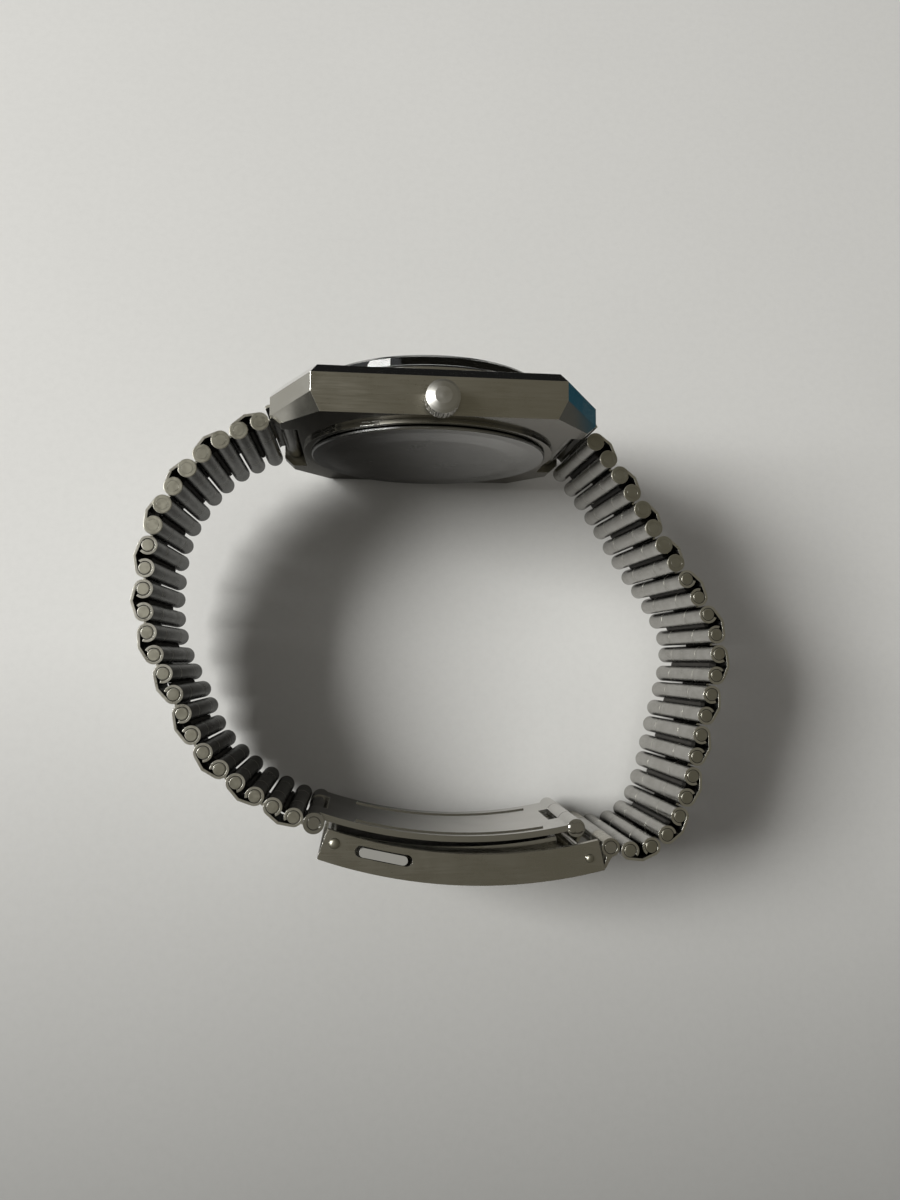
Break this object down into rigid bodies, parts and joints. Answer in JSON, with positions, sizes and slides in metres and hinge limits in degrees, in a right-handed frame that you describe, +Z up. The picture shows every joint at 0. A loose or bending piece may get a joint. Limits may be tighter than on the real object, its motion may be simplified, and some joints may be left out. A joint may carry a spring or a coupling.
{
  "type": "analog wristwatch",
  "caption": "Steel wristwatch with a cut-cornered case, domed crown, folded tube-link bracelet and folding clasp, closed and standing on its side.",
  "frame": {"origin": "on the floor under the middle of the standing watch", "axes": "+X from the six o'clock side to the twelve o'clock side, +Y out of the dial, +Z up, toward the crown; the whole watch leans a few degrees about X"},
  "size_m": [0.0697, 0.0625, 0.0374],
  "materials": {
    "acrylic_glass": "clear",
    "black_ring": "matte",
    "blued_spring": "polished",
    "brass_wheels": "satin",
    "brushed_case_steel": "brushed",
    "dark_chapter_ring": "satin",
    "gasket_rubber": "matte",
    "link_steel": "satin",
    "plated_brass": "satin",
    "polished_steel": "polished",
    "silver_dial": "satin"
  },
  "bodies": {
    "case": {"case_middle": "brushed_case_steel", "case_back": "polished_steel", "back_gasket": "gasket_rubber", "bezel": "brushed_case_steel", "crystal": "acrylic_glass", "tension_ring": "black_ring", "chapter_ring": "dark_chapter_ring", "dial": "silver_dial", "hour_markers": "polished_steel", "crown_tube": "polished_steel", "spring_bars": "polished_steel", "main_plate": "plated_brass", "movement_ring": "black_ring", "train_bridge": "plated_brass", "hairspring": "blued_spring", "balance_cock": "plated_brass"},
    "left_end_link": {"left_end_link": "link_steel", "left_link_01": "link_steel", "left_link_02": "link_steel", "left_link_03": "link_steel"},
    "left_link_04": {"left_link_04": "link_steel", "left_link_05": "link_steel", "left_link_06": "link_steel", "left_link_07": "link_steel"},
    "left_link_08": {"left_link_08": "link_steel", "left_link_09": "link_steel", "left_link_10": "link_steel", "left_link_11": "link_steel"},
    "left_link_12": {"left_link_12": "link_steel"},
    "right_end_link": {"right_end_link": "link_steel", "right_link_01": "link_steel", "right_link_02": "link_steel", "right_link_03": "link_steel", "right_link_04": "link_steel", "right_link_05": "link_steel"},
    "right_link_06": {"right_link_06": "link_steel", "right_link_07": "link_steel"},
    "right_link_08": {"right_link_08": "link_steel"},
    "right_link_09": {"right_link_09": "link_steel"},
    "right_link_10": {"right_link_10": "link_steel"},
    "right_link_11": {"right_link_11": "link_steel"},
    "right_link_12": {"right_link_12": "link_steel"},
    "inner_blade": {"clasp_inner_blade": "brushed_case_steel", "clasp_inner_pins": "polished_steel"},
    "middle_blade": {"clasp_middle_blade": "brushed_case_steel"},
    "cover": {"clasp_cover": "brushed_case_steel", "clasp_rivets": "polished_steel"},
    "adjuster": {"clasp_adjuster": "polished_steel"},
    "stem": {"winding_stem": "polished_steel"},
    "crown": {"crown": "polished_steel"},
    "minute_hand": {"minute_hand": "polished_steel"},
    "hour_hand": {"hour_hand": "polished_steel"},
    "fourth_wheel": {"fourth_wheel": "brass_wheels"},
    "second_hand": {"second_hand": "polished_steel"},
    "third_wheel": {"third_wheel": "brass_wheels"},
    "centre_wheel": {"centre_wheel": "brass_wheels"},
    "barrel": {"barrel": "brass_wheels"},
    "escape_wheel": {"escape_wheel": "brass_wheels"},
    "pallet_fork": {"pallet_fork": "polished_steel"},
    "balance_wheel": {"balance_wheel": "brass_wheels"}
  },
  "joints": [
    {"name": "left_lug_hinge", "type": "hinge", "parent": "case", "child": "left_end_link", "pos_m": [-0.01828, 0.02361, 0.01731], "axis": [0, -0.1519, 0.9884], "range_deg": [-1, 8.1]},
    {"name": "left_link_04_hinge", "type": "hinge", "parent": "left_end_link", "child": "left_link_04", "pos_m": [-0.03171, 0.01262, 0.01562], "axis": [0, -0.1519, 0.9884], "range_deg": [-1, 3.6]},
    {"name": "left_link_08_hinge", "type": "hinge", "parent": "left_link_04", "child": "left_link_08", "pos_m": [-0.03111, -0.0063, 0.01271], "axis": [0, -0.1519, 0.9884], "range_deg": [-7.4, 1]},
    {"name": "left_link_12_hinge", "type": "hinge", "parent": "left_link_08", "child": "left_link_12", "pos_m": [-0.01876, -0.02095, 0.01046], "axis": [0, -0.1519, 0.9884], "range_deg": [-14.9, 1]},
    {"name": "right_lug_hinge", "type": "hinge", "parent": "case", "child": "right_end_link", "pos_m": [0.01652, 0.02361, 0.01731], "axis": [0, -0.1519, 0.9884], "range_deg": [-20.9, 1]},
    {"name": "right_link_06_hinge", "type": "hinge", "parent": "right_end_link", "child": "right_link_06", "pos_m": [0.03224, 0.00094, 0.01383], "axis": [0, -0.1519, 0.9884], "range_deg": [-1, 13.8]},
    {"name": "right_link_08_hinge", "type": "hinge", "parent": "right_link_06", "child": "right_link_08", "pos_m": [0.03252, -0.00853, 0.01237], "axis": [0, -0.1519, 0.9884], "range_deg": [-1, 22.4]},
    {"name": "right_link_09_hinge", "type": "hinge", "parent": "right_link_08", "child": "right_link_09", "pos_m": [0.0312, -0.01324, 0.01165], "axis": [0, -0.1519, 0.9884], "range_deg": [-1, 31]},
    {"name": "right_link_10_hinge", "type": "hinge", "parent": "right_link_09", "child": "right_link_10", "pos_m": [0.03006, -0.018, 0.01091], "axis": [0, -0.1519, 0.9884], "range_deg": [-1, 39.2]},
    {"name": "right_link_11_hinge", "type": "hinge", "parent": "right_link_10", "child": "right_link_11", "pos_m": [0.02837, -0.0226, 0.01021], "axis": [0, -0.1519, 0.9884], "range_deg": [-1, 42.3]},
    {"name": "right_link_12_hinge", "type": "hinge", "parent": "right_link_11", "child": "right_link_12", "pos_m": [0.0249, -0.02599, 0.00969], "axis": [0, -0.1519, 0.9884], "range_deg": [-1, 40.2]},
    {"name": "inner_blade_hinge", "type": "hinge", "parent": "left_link_12", "child": "inner_blade", "pos_m": [-0.0142, -0.0228, 0.01018], "axis": [0, -0.1519, 0.9884], "range_deg": [-12.3, 1]},
    {"name": "clasp_fold", "type": "hinge", "parent": "inner_blade", "child": "middle_blade", "pos_m": [0.0162, -0.02395, 0.01], "axis": [0, -0.1519, 0.9884], "range_deg": [0, 150]},
    {"name": "cover_hinge", "type": "hinge", "parent": "middle_blade", "child": "cover", "pos_m": [-0.01185, -0.02499, 0.00984], "axis": [0, -0.1519, 0.9884], "range_deg": [-40.7, 1]},
    {"name": "adjuster_slide", "type": "slide", "parent": "cover", "child": "adjuster", "axis": [0.9771, -0.2101, -0.0323], "range_m": [-0.0005, 0.0005]},
    {"name": "crown_pull", "type": "slide", "parent": "case", "child": "stem", "axis": [0, -0.1519, 0.9884], "range_m": [0, 0.001]},
    {"name": "crown_turn", "type": "hinge", "parent": "stem", "child": "crown", "pos_m": [-0.00088, 0.01999, 0.03497], "axis": [0, -0.1519, 0.9884], "continuous": true},
    {"name": "minute_hand_turn", "type": "hinge", "parent": "case", "child": "minute_hand", "pos_m": [-0.00088, 0.02559, 0.01762], "axis": [0, 0.9884, 0.1519], "continuous": true},
    {"name": "hour_hand_turn", "type": "hinge", "parent": "case", "child": "hour_hand", "pos_m": [-0.00088, 0.02559, 0.01762], "axis": [0, 0.9884, 0.1519], "continuous": true},
    {"name": "fourth_wheel_turn", "type": "hinge", "parent": "case", "child": "fourth_wheel", "pos_m": [-0.00549, 0.02536, 0.01914], "axis": [0, 0.9884, 0.1519], "continuous": true},
    {"name": "second_hand_turn", "type": "hinge", "parent": "case", "child": "second_hand", "pos_m": [-0.00088, 0.02559, 0.01762], "axis": [0, 0.9884, 0.1519], "continuous": true},
    {"name": "third_wheel_turn", "type": "hinge", "parent": "case", "child": "third_wheel", "pos_m": [-0.00482, 0.02594, 0.01537], "axis": [0, 0.9884, 0.1519], "continuous": true},
    {"name": "centre_wheel_turn", "type": "hinge", "parent": "case", "child": "centre_wheel", "pos_m": [-0.00088, 0.02559, 0.01762], "axis": [0, 0.9884, 0.1519], "continuous": true},
    {"name": "barrel_turn", "type": "hinge", "parent": "case", "child": "barrel", "pos_m": [0.00428, 0.02604, 0.01468], "axis": [0, 0.9884, 0.1519], "continuous": true},
    {"name": "escape_wheel_turn", "type": "hinge", "parent": "case", "child": "escape_wheel", "pos_m": [-0.00826, 0.02511, 0.02072], "axis": [0, 0.9884, 0.1519], "continuous": true},
    {"name": "pallet_fork_swing", "type": "hinge", "parent": "case", "child": "pallet_fork", "pos_m": [-0.00704, 0.02476, 0.02299], "axis": [0, 0.9884, 0.1519], "range_deg": [-5, 5]},
    {"name": "balance_swing", "type": "hinge", "parent": "case", "child": "balance_wheel", "pos_m": [-0.00563, 0.02436, 0.02561], "axis": [0, 0.9884, 0.1519], "range_deg": [-135, 135]}
  ],
  "couplings": [
    {"joint": "left_lug_hinge", "follows": "clasp_fold", "ratio": 0.0472},
    {"joint": "left_link_04_hinge", "follows": "clasp_fold", "ratio": 0.0176},
    {"joint": "left_link_08_hinge", "follows": "clasp_fold", "ratio": -0.0429},
    {"joint": "left_link_12_hinge", "follows": "clasp_fold", "ratio": -0.0925},
    {"joint": "right_lug_hinge", "follows": "clasp_fold", "ratio": -0.1328},
    {"joint": "right_link_06_hinge", "follows": "clasp_fold", "ratio": 0.0856},
    {"joint": "right_link_08_hinge", "follows": "clasp_fold", "ratio": 0.1424},
    {"joint": "right_link_09_hinge", "follows": "clasp_fold", "ratio": 0.1998},
    {"joint": "right_link_10_hinge", "follows": "clasp_fold", "ratio": 0.2544},
    {"joint": "right_link_11_hinge", "follows": "clasp_fold", "ratio": 0.2753},
    {"joint": "right_link_12_hinge", "follows": "clasp_fold", "ratio": 0.2614},
    {"joint": "inner_blade_hinge", "follows": "clasp_fold", "ratio": -0.0754},
    {"joint": "cover_hinge", "follows": "clasp_fold", "ratio": -0.2645},
    {"joint": "hour_hand_turn", "follows": "minute_hand_turn", "ratio": 0.083333},
    {"joint": "second_hand_turn", "follows": "fourth_wheel_turn", "ratio": 1},
    {"joint": "third_wheel_turn", "follows": "fourth_wheel_turn", "ratio": -0.13333},
    {"joint": "centre_wheel_turn", "follows": "fourth_wheel_turn", "ratio": 0.016667},
    {"joint": "barrel_turn", "follows": "fourth_wheel_turn", "ratio": -0.003},
    {"joint": "escape_wheel_turn", "follows": "fourth_wheel_turn", "ratio": -8}
  ]
}
